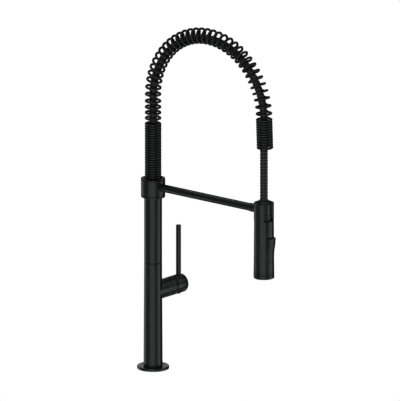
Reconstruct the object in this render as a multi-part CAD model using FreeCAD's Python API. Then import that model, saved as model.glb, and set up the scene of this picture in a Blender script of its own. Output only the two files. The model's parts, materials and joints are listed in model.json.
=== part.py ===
"""Deck-mounted pre-rinse faucet: column, side mixer lever, sprung hose arch, arm, clip and spray head.

Millimetres, +Z up. The origin is on the counter, on the column's axis. The arm and the clip point
along +X, and the mixer valve and its lever along +Y. Each piece is one STEP file in parts/.
"""
import FreeCAD, Part
import math
import os

V = FreeCAD.Vector
AXES = {"X": V(1, 0, 0), "Y": V(0, 1, 0), "Z": V(0, 0, 1)}

# Base and column
FLANGE_R = 27.0
FLANGE_H = 4.8
FOOT_R = 16.0            # column radius on the counter
COLUMN_R = 15.0          # column radius at the swivel seam and above it
SEAM_Z = 185.0           # swivel seam between the lower and the upper column
SHANK_R = 13.25          # tapped M28 x 1.5 bore for the fixing shank
SHANK_DEPTH = 16.0
SUPPLY_R = 12.0          # hollow for the two supply hoses
BLOCK_Z = 106.0          # underside of the valve block inside the column
INLET_R = 4.5            # tapped M10 x 1 inlets
INLET_X = 6.0
INLET_DEPTH = 12.0
SPIGOT_R = 11.5
SPIGOT_TOP = 214.0
WATER_R = 4.5
FIT = 0.05               # radial running clearance
GAP = 0.3                # clearance between pieces that move past each other

# Mixer valve, on an axis along +Y at this height
VALVE_Z = 133.8
VALVE_R = 15.9
SEAT_Y = 6.0             # flat that the cartridge stands on
HOUSING_Y = 36.0         # end of the fixed housing
CARTRIDGE_R = 12.5
SPINDLE_R = 6.0
PIVOT_Y = 64.0           # cross pin that the lever tilts on
KNUCKLE_R = 16.0         # rounded inner end of the hub
LIP_Y = 58.4             # end of the sleeve's lips
HUB_END_Y = 74.5
TONGUE_HALF = 4.5
TONGUE_R = 6.0
PIN_R = 2.0
PUSHROD_R = 1.2
PUSHROD_DROP = 3.9       # pushrod below the valve axis
SLOT_END_Y = 70.5
LEVER_Y = 67.0
LEVER_R = 4.15
LEVER_TOP = 236.0
PORTS = [(-INLET_X, -5.3), (INLET_X, -5.3), (0.0, 6.2)]  # cold, hot and mixed, as X and height

# Collar, arm and clip
COLLAR_R = 20.5
COLLAR_Z0 = 299.0
COLLAR_Z1 = 332.0
RING_SPLIT_LOW = 303.6
RING_SPLIT_HIGH = 329.4
COLUMN_TOP = 318.0
RECESS_R = 14.5          # spring well in the collar
ARM_Z = 318.0
ARM_R = 6.45
ARM_START = 18.5
REACH = 243.5            # column axis to spray axis
CLIP_R = 17.1
CLIP_BORE_R = 13.35
CLIP_Z0 = 300.7
CLIP_Z1 = 331.0
CLIP_HALF_SLOT = 48.0    # degrees each side of +X
BOSS_R = 7.1
BOSS_X = 219.5
ARM_END = 228.0

# Spring and hose
SPRING_R = 14.05
SPRING_WALL = 1.1        # gives the sleeve the volume of the coiled wire
SPRING_FOOT = 320.0
ARCH_Z = 478.0           # height of the arch's centre
SPRING_LEAN = 2.0        # degrees that the lower coils lean out
SPRING_TAIL = 56.5       # straight close-wound end above the spray head
HOSE_R = 6.5
HOSE_BORE = 4.0
HOSE_START = 322.0
HOSE_ARCH_Z = 474.5      # the hose hangs towards the inner side of the spring's arch
HOSE_SPLIT = 473.2       # below it the hose rides with the spray head

# Spray head, on a vertical axis at REACH
NECK_R = 12.0
NUT_Z0 = 312.2
NUT_Z1 = 335.5
STEM_R = 8.5
HEAD_TOP = 300.4
HEAD_TOP_R = 16.6
HEAD_FOOT = 208.4
HEAD_FOOT_R = 17.3
HEAD_CAVITY_R = 14.5
HEAD_ROOF = 296.0
BEZEL_R = 17.45
FACE_Z = 200.0
CORE_R = 14.2
ROCKER_Z0 = 229.2
ROCKER_Z1 = 272.6
ROCKER_HALF = 9.2
ROCKER_PIVOT = (10.5, 251.0)  # from the spray axis, and height
SPOOL_Z = 265.0
SPOOL_R = 3.0
NOZZLES = 12
NOZZLE_RING = 10.0

COLUMN = V(0, 0, 0)
VALVE = V(0, 0, VALVE_Z)
PIVOT = V(0, PIVOT_Y, VALVE_Z)
LEVER = V(0, LEVER_Y, VALVE_Z)
ARM = V(0, 0, ARM_Z)
SPRAY = V(REACH, 0, 0)


def spot(axis, centre, radius, along):
    """Point at a radius from an axis through centre, and at a distance along it."""
    side = V(0, 0, 1) if axis == "X" else V(1, 0, 0)
    return centre + side * radius + AXES[axis] * along


def lathe(axis, centre, outline):
    """Turned solid. A step is (radius, along), or (radius, along, radius, along) through an arc's middle."""
    ends = [spot(axis, centre, step[-2], step[-1]) for step in outline]
    edges = []
    for i, step in enumerate(outline):
        if len(step) == 4:
            middle = spot(axis, centre, step[0], step[1])
            edges.append(Part.Arc(ends[i - 1], middle, ends[i]).toShape())
        else:
            edges.append(Part.LineSegment(ends[i - 1], ends[i]).toShape())
    return Part.Face(Part.Wire(edges)).revolve(centre, AXES[axis], 360)


def rod(axis, centre, radius, start, end):
    return Part.makeCylinder(radius, end - start, centre + AXES[axis] * start, AXES[axis])


def ring(axis, centre, outer, inner, start, end):
    return lathe(axis, centre, [(inner, start), (outer, start), (outer, end), (inner, end)])


def seal(axis, centre, radius, section, along):
    return Part.makeTorus(radius, section, centre + AXES[axis] * along, AXES[axis])


def block(x, y, z):
    """Box from three (low, high) pairs."""
    return Part.makeBox(x[1] - x[0], y[1] - y[0], z[1] - z[0], V(x[0], y[0], z[0]))


def round_top(radius, height, corner):
    """Outline steps around an outer top corner, going up and in."""
    near = corner * (1 - math.sqrt(0.5))
    return [(radius, height - corner), (radius - near, height - near, radius - corner, height)]


def round_bottom(radius, height, corner):
    """Outline steps around an outer bottom corner, going out and up."""
    near = corner * (1 - math.sqrt(0.5))
    return [(radius - corner, height), (radius - near, height + near, radius, height + corner)]


def hexagon(axis, centre, across_flats, start, end):
    """Hexagonal socket for a key."""
    corner = across_flats / math.sqrt(3)
    first = {"X": V(0, corner, 0), "Y": V(corner, 0, 0), "Z": V(corner, 0, 0)}[axis]
    base = centre + AXES[axis] * start
    points = []
    for i in range(7):
        turn = FreeCAD.Rotation(AXES[axis], 60 * i)
        points.append(base + turn.multVec(first))
    return Part.Face(Part.makePolygon(points)).extrude(AXES[axis] * (end - start))


def united(first, *others):
    return first.multiFuse(list(others)).removeSplitter()


# Base body

def base_flange():
    """Round escutcheon with a rounded rim and a groove for its gasket."""
    bore = FOOT_R + FIT
    rim = round_top(FLANGE_R, FLANGE_H, 1.6)
    plate = lathe("Z", COLUMN, [(bore, 0), (FLANGE_R, 0)] + rim + [(bore, FLANGE_H)])
    return plate.cut(ring("Z", COLUMN, 23.0, 19.0, -1, 1.8))


def deck_gasket():
    return ring("Z", COLUMN, 22.9, 19.1, 0, 1.75)


def lower_body():
    """Cast column and valve housing: supply hollow below, valve block and waterways, swivel spigot on top."""
    shoulder = SEAM_Z - 0.4
    column = lathe("Z", COLUMN, [
        (0, 0), (FOOT_R, 0), (COLUMN_R, shoulder), (SPIGOT_R, shoulder),
        (SPIGOT_R, SPIGOT_TOP - 0.8), (SPIGOT_R - 0.8, SPIGOT_TOP), (0, SPIGOT_TOP)])
    housing = lathe("Y", VALVE, [
        (0, 0), (15.1, 0), (VALVE_R, 5), (VALVE_R, HOUSING_Y - 0.4), (VALVE_R - 0.4, HOUSING_Y),
        (0, HOUSING_Y)])
    cuts = [
        rod("Z", COLUMN, SHANK_R, -1, SHANK_DEPTH),
        rod("Z", COLUMN, SUPPLY_R, SHANK_DEPTH - 1, BLOCK_Z),
        rod("Y", VALVE, CARTRIDGE_R + 0.1, SEAT_Y, HOUSING_Y + 1),
        rod("Y", VALVE, 13.4, 28.4, HOUSING_Y + 1),
        ring("Z", COLUMN, SPIGOT_R + 1, 10.0, 195.8, 199.2),
    ]
    for height in (203.0, 209.0):
        cuts.append(ring("Z", COLUMN, SPIGOT_R + 1, 9.5, height - 1.05, height + 1.05))
    for x, rise in PORTS[:2]:
        inlet = V(x, 0, 0)
        cuts.append(rod("Z", inlet, INLET_R, BLOCK_Z - 1, BLOCK_Z + INLET_DEPTH))
        cuts.append(rod("Z", inlet, 2.6, BLOCK_Z + INLET_DEPTH - 1, VALVE_Z + rise + 2.6))
        cuts.append(rod("Y", V(x, 0, VALVE_Z + rise), 2.2, 0, SEAT_Y + 1))
    mixed = VALVE_Z + PORTS[2][1]
    cuts.append(rod("Y", V(0, 0, mixed), 3.0, 0, SEAT_Y + 1))
    cuts.append(rod("Z", COLUMN, WATER_R, mixed - 4, SPIGOT_TOP + 1))
    return united(column, housing).cut(cuts)


def swivel_washer():
    return ring("Z", COLUMN, COLUMN_R - 0.4, SPIGOT_R + 0.1, SEAM_Z - 0.4, SEAM_Z + 0.4)


def swivel_seals():
    return Part.makeCompound([seal("Z", COLUMN, 10.5, 0.98, height) for height in (203.0, 209.0)])


def ported(disc, radius):
    """Cuts the cold, hot and mixed ports through a disc of the cartridge."""
    return disc.cut([rod("Y", V(x, 0, VALVE_Z + rise), radius, SEAT_Y, 14) for x, rise in PORTS])


def cartridge_body():
    """Cup that holds the ceramic discs, with the spindle's bearing in its cover."""
    cup = rod("Y", VALVE, CARTRIDGE_R, SEAT_Y + 0.9, 28.4)
    hollow = rod("Y", VALVE, 10.6, 9.5, 24)
    bearing = rod("Y", VALVE, SPINDLE_R + FIT, 23, 29)
    return ported(cup, 2.5).cut([hollow, bearing])


def port_seals():
    spots = [V(x, 0, VALVE_Z + rise) for x, rise in PORTS]
    return Part.makeCompound([seal("Y", centre, 3.3, 0.44, SEAT_Y + 0.45) for centre in spots])


def fixed_disc():
    return ported(rod("Y", VALVE, 10.5, 9.55, 13.0), 2.4)


def cartridge_nut():
    nut = ring("Y", VALVE, 13.35, 9.0, 28.5, 35.5)
    slots = [block((-15, 15), (33.5, 36), (VALVE_Z - 1.5, VALVE_Z + 1.5))]
    slots.append(block((-1.5, 1.5), (33.5, 36), (VALVE_Z - 15, VALVE_Z + 15)))
    return nut.cut(slots)


# Mixer body: turns about the valve axis

def moving_disc():
    disc = rod("Y", VALVE, 10.4, 13.05, 16.0)
    mixing_pocket = block((-7, 7), (13, 15), (VALVE_Z - 4, VALVE_Z + 7))
    return disc.cut(mixing_pocket)


def cartridge_spindle():
    """Carrier of the moving disc, bearing shaft, and the tongue that holds the lever's cross pin."""
    carrier = rod("Y", VALVE, 10.3, 16.05, 19)
    shaft = rod("Y", VALVE, SPINDLE_R, 18, 47)
    tongue = block((-TONGUE_HALF, TONGUE_HALF), (46, PIVOT_Y), (VALVE_Z - TONGUE_R, VALVE_Z + TONGUE_R))
    nose = rod("X", PIVOT, TONGUE_R, -TONGUE_HALF, TONGUE_HALF)
    web = tongue.cut(rod("Y", VALVE, 30, 40, 47))
    pushrod_bore = rod("Y", V(0, 0, VALVE_Z - PUSHROD_DROP), PUSHROD_R + FIT, 16, PIVOT_Y + 8)
    pin_bore = rod("X", PIVOT, PIN_R + FIT, -9, 9)
    return united(carrier, shaft, web, nose).cut([pushrod_bore, pin_bore])


def handle_sleeve():
    """Rotating sleeve whose hollow end is the seat of the hub's rounded end."""
    start = HOUSING_Y + 0.35
    sleeve = lathe("Y", VALVE, [
        (0, start), (VALVE_R - 0.3, start), (VALVE_R, start + 0.3), (VALVE_R, LIP_Y), (0, LIP_Y)])
    seat = rod("X", PIVOT, KNUCKLE_R + GAP, -20, 20)
    bore = rod("Y", VALVE, SPINDLE_R, 30, LIP_Y)
    screw_hole = rod("Z", V(0, 42, VALVE_Z), 2.0, -17, -5)
    half, rise = TONGUE_HALF + FIT, TONGUE_R + FIT
    tongue_way = block((-half, half), (46, LIP_Y), (VALVE_Z - rise, VALVE_Z + rise))
    return sleeve.cut([seat, bore, screw_hole, tongue_way])


def sleeve_screw():
    centre = V(0, 42, VALVE_Z)
    screw = rod("Z", centre, 1.98, -15.2, -SPINDLE_R)
    return screw.cut(hexagon("Z", centre, 2.0, -16, -13))


# Lever body: tilts on the cross pin

def handle_hub():
    """Hub with a rounded inner end, a slot for the tongue and a bore for the lever."""
    drum = lathe("Y", VALVE, [(0, 47), (VALVE_R, 47)] + round_top(VALVE_R, HUB_END_Y, 1.0) + [(0, HUB_END_Y)])
    knuckle = rod("X", PIVOT, KNUCKLE_R, -20, 20)
    outer = block((-20, 20), (PIVOT_Y, 80), (VALVE_Z - 20, VALVE_Z + 20))
    hub = drum.common(knuckle.fuse(outer))
    slot_half = TONGUE_HALF + GAP
    cuts = [
        block((-slot_half, slot_half), (44, SLOT_END_Y), (VALVE_Z - 12.3, VALVE_Z + 6.6)),
        rod("Z", LEVER, LEVER_R + FIT, 12.5, 20),
        rod("Z", LEVER, 2.1, 9, 13),
        rod("Z", LEVER, 3.4, 6, 9.3),
        rod("Z", LEVER, 3.3, -18, -12),
        rod("X", PIVOT, PIN_R, -18, 11),
    ]
    return hub.cut(cuts)


def tilt_pin():
    return rod("X", PIVOT, PIN_R, -14.5, 11)


def lever_rod():
    """Straight pin lever, standing in the hub and held from inside by its screw."""
    top = LEVER_TOP - VALVE_Z
    lever = lathe("Z", LEVER, [(0, 12.5), (LEVER_R, 12.5)] + round_top(LEVER_R, top, 0.9) + [(0, top)])
    return lever.cut(rod("Z", LEVER, 2.0, 12, 21))


def lever_screw():
    screw = lathe("Z", LEVER, [(0, 7), (3.2, 7), (3.2, 9.3), (1.95, 9.3), (1.95, 20), (0, 20)])
    return screw.cut(hexagon("Z", LEVER, 2.5, 6.9, 8.4))


def hub_plug():
    """Domed plug in the hole under the hub that the lever's screw is reached through."""
    return lathe("Z", LEVER, [(0, -17.4)] + round_bottom(3.28, -17.4, 1.2) + [(3.28, -12.4), (0, -12.4)])


# Pushrod body: slides in the spindle, pushed by the hub

def flow_pushrod():
    centre = V(0, 0, VALVE_Z - PUSHROD_DROP)
    return lathe("Y", centre, [(0, 20), (PUSHROD_R, 20)] + round_top(PUSHROD_R, SLOT_END_Y - GAP, 0.5) +
                 [(0, SLOT_END_Y - GAP)])


# Spout body: swivels on the spigot

def upper_column():
    start = SEAM_Z + 0.45
    tube = lathe("Z", COLUMN, [
        (12.6, start), (COLUMN_R - 0.3, start), (COLUMN_R, start + 0.3), (COLUMN_R, COLUMN_TOP),
        (11.5, COLUMN_TOP), (11.5, 301), (10.5, 301), (10.5, 216), (SPIGOT_R + FIT, 216),
        (SPIGOT_R + FIT, 194.6), (12.6, 194.6)])
    return tube.cut(rod("X", V(0, 0, 197.5), 2.5, -18, -9))


def swivel_bush():
    return ring("Z", COLUMN, 12.58, SPIGOT_R + FIT, SEAM_Z + 0.5, 194.5)


def swivel_screw():
    """Grub screw whose tip runs in the spigot's groove and keeps the upper column on it."""
    centre = V(0, 0, 197.5)
    screw = lathe("X", centre, [
        (0, -14.4), (2.45, -14.4), (2.45, -11.8), (1.4, -11.8), (1.4, -10.4), (0, -10.4)])
    return screw.cut(hexagon("X", centre, 2.5, -15, -13))


def hose_connector():
    """Threaded plug in the column's top, with the hose's nozzle and the spring's seat."""
    plug = lathe("Z", COLUMN, [
        (2.8, 303), (11.45, 303), (11.45, COLUMN_TOP), (14.2, COLUMN_TOP), (14.2, SPRING_FOOT),
        (3.95, SPRING_FOOT), (3.95, 340), (3.3, 341), (2.8, 341)])
    return plug.cut(ring("Z", COLUMN, 13, 9.5, 305.45, 307.55))


def connector_seal():
    return seal("Z", COLUMN, 10.45, 0.95, 306.5)


def collar():
    """Clamp sleeve around the column's top, with the arm's socket and the spring's well."""
    sleeve = lathe("Z", COLUMN, [
        (15.03, RING_SPLIT_LOW), (COLLAR_R, RING_SPLIT_LOW), (COLLAR_R, RING_SPLIT_HIGH),
        (RECESS_R, RING_SPLIT_HIGH), (RECESS_R, COLUMN_TOP), (15.03, COLUMN_TOP)])
    cuts = [
        rod("X", ARM, ARM_R + FIT, ARM_START, 25),
        rod("X", ARM, 2.6, 12, 20),
        rod("X", ARM, 4.6, 12, 17.4),
        rod("X", V(0, 0, 310), 2.5, -22, -12),
    ]
    return sleeve.cut(cuts)


def collar_top_ring():
    base = RING_SPLIT_HIGH
    return lathe("Z", COLUMN, [
        (RECESS_R, base), (COLLAR_R - 0.6, base), (COLLAR_R - 0.6, base + 0.6), (COLLAR_R, base + 0.6),
        (COLLAR_R, COLLAR_Z1 - 0.9), (COLLAR_R - 0.9, COLLAR_Z1), (RECESS_R, COLLAR_Z1)])


def collar_lock_ring():
    return lathe("Z", COLUMN, [(15.03, COLLAR_Z0)] + round_bottom(COLLAR_R, COLLAR_Z0, 2.2) + [
        (COLLAR_R, RING_SPLIT_LOW - 0.6), (COLLAR_R - 0.6, RING_SPLIT_LOW - 0.6),
        (COLLAR_R - 0.6, RING_SPLIT_LOW), (15.03, RING_SPLIT_LOW)])


def collar_screw():
    centre = V(0, 0, 310)
    return rod("X", centre, 2.45, -19.3, -15.05).cut(hexagon("X", centre, 2.5, -20, -17))


def arm_bolt():
    """Socket-head bolt that pulls the arm into the collar from inside."""
    bolt = lathe("X", ARM, [(0, 15.15), (4.4, 15.15), (4.4, 17.4), (2.45, 17.4), (2.45, 31), (0, 31)])
    return bolt.cut(hexagon("X", ARM, 3.0, 15, 16.8))


def arm_rod():
    arm = lathe("X", ARM, [(0, ARM_START), (ARM_R, ARM_START), (ARM_R, ARM_END), (0, ARM_END)])
    return arm.cut([rod("X", ARM, 2.5, 18, 33), rod("Z", V(223, 0, ARM_Z), 1.2, -9, 9)])


def arm_ferrule():
    return lathe("X", ARM, [
        (ARM_R + FIT, 213.5), (BOSS_R - 0.4, 213.5), (BOSS_R, 213.9), (BOSS_R, 218.8), (BOSS_R - 0.4, 219.2),
        (ARM_R + FIT, 219.2)])


def holder_pin():
    return rod("Z", V(223, 0, ARM_Z), 1.2, -6.9, 6.9)


def slot_wedge(half_angle):
    """Wedge from the spray axis out along +X, taller than the clip."""
    far = 30
    side = far * math.tan(math.radians(half_angle))
    corners = [V(REACH, 0, 290), V(REACH + far, -side, 290), V(REACH + far, side, 290), V(REACH, 0, 290)]
    return Part.Face(Part.makePolygon(corners)).extrude(V(0, 0, 60))


def spray_holder():
    """C-shaped clip, open away from the column, with a boss for the arm."""
    outside = lathe("Z", SPRAY, [(0, CLIP_Z0)] + round_bottom(CLIP_R, CLIP_Z0, 0.7) +
                    round_top(CLIP_R, CLIP_Z1, 0.7) + [(0, CLIP_Z1)])
    boss = rod("X", ARM, BOSS_R, BOSS_X, 232)
    cuts = [
        rod("Z", SPRAY, CLIP_BORE_R, 295, 335),
        slot_wedge(CLIP_HALF_SLOT),
        rod("X", ARM, ARM_R + FIT, BOSS_X - 1, ARM_END + 0.1),
        rod("Z", V(223, 0, ARM_Z), 1.2, -9, 9),
    ]
    return united(outside, boss).cut(cuts)


def holder_liner():
    liner = ring("Z", SPRAY, CLIP_BORE_R - FIT, NECK_R + GAP, CLIP_Z0 + 0.5, CLIP_Z1 - 0.5)
    return liner.cut(slot_wedge(CLIP_HALF_SLOT + 1))


def arch_tube(outer, inner, foot, height, radius, lean, tail):
    """Tube up the column axis, over an arch at a height, and down its far leg, which leans out by an angle."""
    circles = [Part.Wire(Part.Circle(V(0, 0, height), AXES["Z"], size).toShape()) for size in (outer, inner)]
    annulus = Part.Face(circles)
    riser = ring("Z", COLUMN, outer, inner, foot, height)
    centre = V(radius, 0, height)
    bend = annulus.revolve(centre, AXES["Y"], 180 - lean)
    drop = ring("Z", V(radius, 0, 0), outer, inner, -tail, 0)
    drop.rotate(V(0, 0, 0), AXES["Y"], -lean)
    drop.translate(centre)
    return united(riser, bend, drop)


def arch_spring():
    """Sleeve along the coils: the outside of the spring, and the metal of its wire."""
    inner = SPRING_R - SPRING_WALL
    return arch_tube(SPRING_R, inner, SPRING_FOOT, ARCH_Z, REACH / 2 + 0.2, SPRING_LEAN, SPRING_TAIL)


def arch_hose():
    return arch_tube(HOSE_R, HOSE_BORE, HOSE_START, HOSE_ARCH_Z, REACH / 2, 0, HOSE_ARCH_Z - HOSE_SPLIT)


def hose_ferrule():
    return ring("Z", COLUMN, 7.4, HOSE_R + 0.02, HOSE_START, 338)


# Hose end body: rides with the spray head as it is pulled down

def hose_drop():
    return ring("Z", SPRAY, HOSE_R, HOSE_BORE, 329, HOSE_SPLIT - 0.2)


def hose_end_fitting():
    return lathe("Z", SPRAY, [
        (2.5, 324.5), (9.1, 324.5), (9.1, 328.8), (3.95, 328.8), (3.95, 341), (3.3, 342), (2.5, 342)])


# Spray head body: turns on the hose's fitting

def hose_nut():
    """Tapered nut that carries the hose's fitting loosely and screws onto the neck."""
    return lathe("Z", SPRAY, [
        (8.55, NUT_Z0), (NECK_R, NUT_Z0), (NECK_R, 328.3), (8.9, 335.1), (8.3, 335.5, 8.0, NUT_Z1),
        (6.8, NUT_Z1), (6.8, 329.2), (9.5, 329.2), (9.5, 324.2), (8.55, 324.2)])


def hose_washer():
    return ring("Z", SPRAY, 8.4, 3.2, 322.05, 324.1)


def spray_neck():
    return lathe("Z", SPRAY, [
        (5.0, 290), (14.0, 290), (14.0, HEAD_ROOF - 0.05), (NECK_R, HEAD_ROOF - 0.05), (NECK_R, NUT_Z0 - 0.1),
        (STEM_R, NUT_Z0 - 0.1), (STEM_R, 322), (5.0, 322)])


def check_valve():
    """Sprung non-return valve, pressed into the neck."""
    return lathe("Z", SPRAY, [
        (0, 303), (2.6, 303), (2.6, 301), (4.95, 301), (4.95, 316), (3.4, 316), (3.4, 306), (0, 306)])


def rocker_pocket(clearance):
    """Window in the head that the rocker stands in, with rounded corners."""
    half = ROCKER_HALF - clearance
    window = block((REACH + 8, REACH + 26), (-half, half), (ROCKER_Z0 + clearance, ROCKER_Z1 - clearance))
    along_x = [edge for edge in window.Edges if abs(edge.tangentAt(0).x) > 0.9]
    return window.makeFillet(1.8, along_x)


def pivot_hole(half_length, radius):
    x, z = ROCKER_PIVOT
    return rod("Y", V(REACH + x, 0, z), radius, -half_length, half_length)


def spray_body():
    """Tapered shell of the spray head."""
    inside = [(NECK_R + FIT, HEAD_ROOF), (HEAD_CAVITY_R, HEAD_ROOF), (HEAD_CAVITY_R, HEAD_FOOT)]
    outside = [(HEAD_FOOT_R, HEAD_FOOT)] + round_top(HEAD_TOP_R, HEAD_TOP, 0.5) + [(NECK_R + FIT, HEAD_TOP)]
    shell = lathe("Z", SPRAY, inside + outside)
    return shell.cut([rocker_pocket(0), pivot_hole(11.6, 1.25)])


def spray_core():
    """Inner waterway block with the selector's bore and the rocker's well."""
    core = rod("Z", SPRAY, CORE_R, 209, 289)
    cuts = [
        block((REACH + 8, REACH + 20), (-9.5, 9.5), (228.8, 273)),
        rod("Z", V(REACH - 4, 0, 0), 3.5, 205, 295),
        rod("X", V(REACH, 0, SPOOL_Z), SPOOL_R + FIT, -10, 10),
        pivot_hole(11.6, 1.25),
    ]
    return core.cut(cuts)


def rocker_pin():
    return pivot_hole(11.4, 1.2)


def bezel_ring():
    """Screwed ring at the mouth, with one fine groove."""
    return lathe("Z", SPRAY, [(14.0, FACE_Z)] + round_bottom(BEZEL_R, FACE_Z, 1.4) + [
        (BEZEL_R, 204.7), (17.1, 204.9), (17.1, 205.3), (BEZEL_R, 205.5), (BEZEL_R, 207.7),
        (16.9, 207.8), (16.9, HEAD_FOOT - 0.02), (14.6, HEAD_FOOT - 0.02), (14.6, 203), (14.0, 203)])


def nozzle_spots():
    angles = [2 * math.pi * i / NOZZLES for i in range(NOZZLES)]
    return [V(REACH + NOZZLE_RING * math.cos(a), NOZZLE_RING * math.sin(a), 0) for a in angles]


def spray_face():
    plate = lathe("Z", SPRAY, [
        (5.4, 201), (13.9, 201), (13.9, 203.05), (14.5, 203.05), (14.5, 204.6), (5.4, 204.6)])
    return plate.cut([rod("Z", centre, 1.3, 200, 206) for centre in nozzle_spots()])


def nozzle_mat():
    """Rubber mat with a ring of spray nozzles that stand through the face."""
    mat = ring("Z", SPRAY, 13.5, 6.2, 204.65, 206.2)
    stubs = [lathe("Z", centre, [(0, 200.6), (0.85, 200.6), (1.25, 202), (1.25, 205), (0, 205)])
             for centre in nozzle_spots()]
    bores = [rod("Z", centre, 0.45, 200, 207) for centre in nozzle_spots()]
    return united(mat, *stubs).cut(bores)


def aerator():
    """Centre insert for the aerated stream, with a cross of vanes."""
    tube = ring("Z", SPRAY, 5.3, 4.5, 200.8, 208.8)
    vanes = [block((REACH - 4.6, REACH + 4.6), (-0.3, 0.3), (202, 207)),
             block((REACH - 0.3, REACH + 0.3), (-4.6, 4.6), (202, 207))]
    return united(tube, *vanes)


def face_seal():
    return seal("Z", SPRAY, 12.4, 1.1, 207.4)


# Rocker body

def rocker():
    """Two-way rocker: its upper half stands proud, and its lower half comes down to the head."""
    envelope = lathe("Z", SPRAY, [
        (0, 229.5), (17.2, 229.5), (17.5, 238.0), (18.2, 255.0), (19.5, 255.8), (20.7, 270.8),
        (20.3, 271.5), (0, 271.5)])
    pad = block((REACH + 13, REACH + 23), (-8.85, 8.85), (229, 272))
    x, z = ROCKER_PIVOT
    ears = []
    for low in (-8.85, 5.0):
        ears.append(block((REACH + 8.4, REACH + 13.5), (low, low + 3.85), (z - 3, z + 3)))
    body = united(pad, *ears).common(envelope).common(rocker_pocket(0.35))
    return body.cut(pivot_hole(12, 1.2 + FIT))


# Selector body: slides behind the rocker

def selector_spool():
    centre = V(REACH, 0, SPOOL_Z)
    spool = rod("X", centre, SPOOL_R, -8, 12.6)
    grooves = [ring("X", centre, 4, 1.6, along - 0.7, along + 0.7) for along in (-6, 5)]
    waist = ring("X", centre, 4, 1.8, -3.5, 2.5)
    return spool.cut(grooves + [waist])


def spool_seals():
    centre = V(REACH, 0, SPOOL_Z)
    return Part.makeCompound([seal("X", centre, 2.28, 0.64, along) for along in (-6, 5)])


PIECES = [
    base_flange, deck_gasket, lower_body, swivel_washer, swivel_seals,
    cartridge_body, port_seals, fixed_disc, cartridge_nut,
    moving_disc, cartridge_spindle, handle_sleeve, sleeve_screw,
    handle_hub, tilt_pin, lever_rod, lever_screw, hub_plug, flow_pushrod,
    upper_column, swivel_bush, swivel_screw, hose_connector, connector_seal,
    collar, collar_top_ring, collar_lock_ring, collar_screw,
    arm_bolt, arm_rod, arm_ferrule, holder_pin, spray_holder, holder_liner,
    arch_spring, arch_hose, hose_ferrule, hose_drop, hose_end_fitting,
    hose_nut, hose_washer, spray_neck, check_valve, spray_body, spray_core, rocker_pin,
    bezel_ring, spray_face, nozzle_mat, aerator, face_seal,
    rocker, selector_spool, spool_seals,
]


def main():
    os.makedirs("parts", exist_ok=True)
    for make in PIECES:
        shape = make()
        solids = len(shape.Solids)
        if not shape.isValid() or solids == 0 or min(solid.Volume for solid in shape.Solids) <= 0:
            raise ValueError(make.__name__ + " is not a valid solid")
        shape.exportStep("parts/" + make.__name__ + ".step")
        print(f"{make.__name__:20s} {solids} solid(s) {shape.Volume / 1000:8.2f} cm3")


main()
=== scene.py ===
"""Looks of a matte black pre-rinse faucet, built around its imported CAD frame. Metres, +Z up."""
import json
import math

import bmesh
import bpy
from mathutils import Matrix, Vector

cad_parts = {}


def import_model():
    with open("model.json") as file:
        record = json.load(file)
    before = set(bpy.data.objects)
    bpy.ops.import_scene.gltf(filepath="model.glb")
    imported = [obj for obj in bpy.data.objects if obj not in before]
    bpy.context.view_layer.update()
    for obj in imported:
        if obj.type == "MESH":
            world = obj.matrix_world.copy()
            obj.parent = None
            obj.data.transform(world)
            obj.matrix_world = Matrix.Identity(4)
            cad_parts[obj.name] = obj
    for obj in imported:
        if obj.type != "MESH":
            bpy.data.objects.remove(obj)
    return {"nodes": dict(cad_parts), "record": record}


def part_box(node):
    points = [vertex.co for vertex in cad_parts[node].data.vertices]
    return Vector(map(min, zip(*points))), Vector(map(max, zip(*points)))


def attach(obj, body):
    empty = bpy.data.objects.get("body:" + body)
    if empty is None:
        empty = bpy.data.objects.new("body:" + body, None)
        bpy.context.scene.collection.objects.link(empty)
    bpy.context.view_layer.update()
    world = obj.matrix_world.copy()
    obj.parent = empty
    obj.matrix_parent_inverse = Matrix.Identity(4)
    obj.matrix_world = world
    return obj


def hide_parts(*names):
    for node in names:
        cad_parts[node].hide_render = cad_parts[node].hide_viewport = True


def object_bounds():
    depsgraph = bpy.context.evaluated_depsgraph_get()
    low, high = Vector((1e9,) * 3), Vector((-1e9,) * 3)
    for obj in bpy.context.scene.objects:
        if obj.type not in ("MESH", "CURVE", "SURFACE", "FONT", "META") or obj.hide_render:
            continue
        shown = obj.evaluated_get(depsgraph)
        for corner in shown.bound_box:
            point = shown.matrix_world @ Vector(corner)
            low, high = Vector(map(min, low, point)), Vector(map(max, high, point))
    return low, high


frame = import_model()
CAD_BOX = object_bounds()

MM = 0.001
TURN = 2 * math.pi


# Materials

NOISE_LOW, NOISE_HIGH = 0.3, 0.7     # noise values between which a finish varies
EDGE_LOW, EDGE_HIGH = 0.53, 0.62     # pointiness between which an edge is worn
BREAK_LOW, BREAK_HIGH = 0.42, 0.62   # noise values between which the wear is broken up


def new_material(name, metallic=0.0, specular=0.5):
    material = bpy.data.materials.new(name)
    material.use_nodes = True
    shader = material.node_tree.nodes["Principled BSDF"]
    shader.inputs["Metallic"].default_value = metallic
    shader.inputs["Specular IOR Level"].default_value = specular
    return material, material.node_tree, shader


def node(tree, kind, **settings):
    made = tree.nodes.new(kind)
    for key, value in settings.items():
        if key in made.inputs:
            made.inputs[key].default_value = value
        else:
            setattr(made, key, value)
    return made


def object_point(tree, stretch=(1, 1, 1)):
    place = tree.nodes.new("ShaderNodeTexCoord")
    stretched = node(tree, "ShaderNodeMapping", Scale=stretch)
    tree.links.new(place.outputs["Object"], stretched.inputs["Vector"])
    return stretched.outputs["Vector"]


def noise(tree, point, scale, detail=3.0, roughness=0.5):
    made = node(tree, "ShaderNodeTexNoise", Scale=scale, Detail=detail, Roughness=roughness)
    tree.links.new(point, made.inputs["Vector"])
    return made.outputs["Fac"]


def scaled(tone, factor):
    return tuple(channel * factor for channel in tone)


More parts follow.
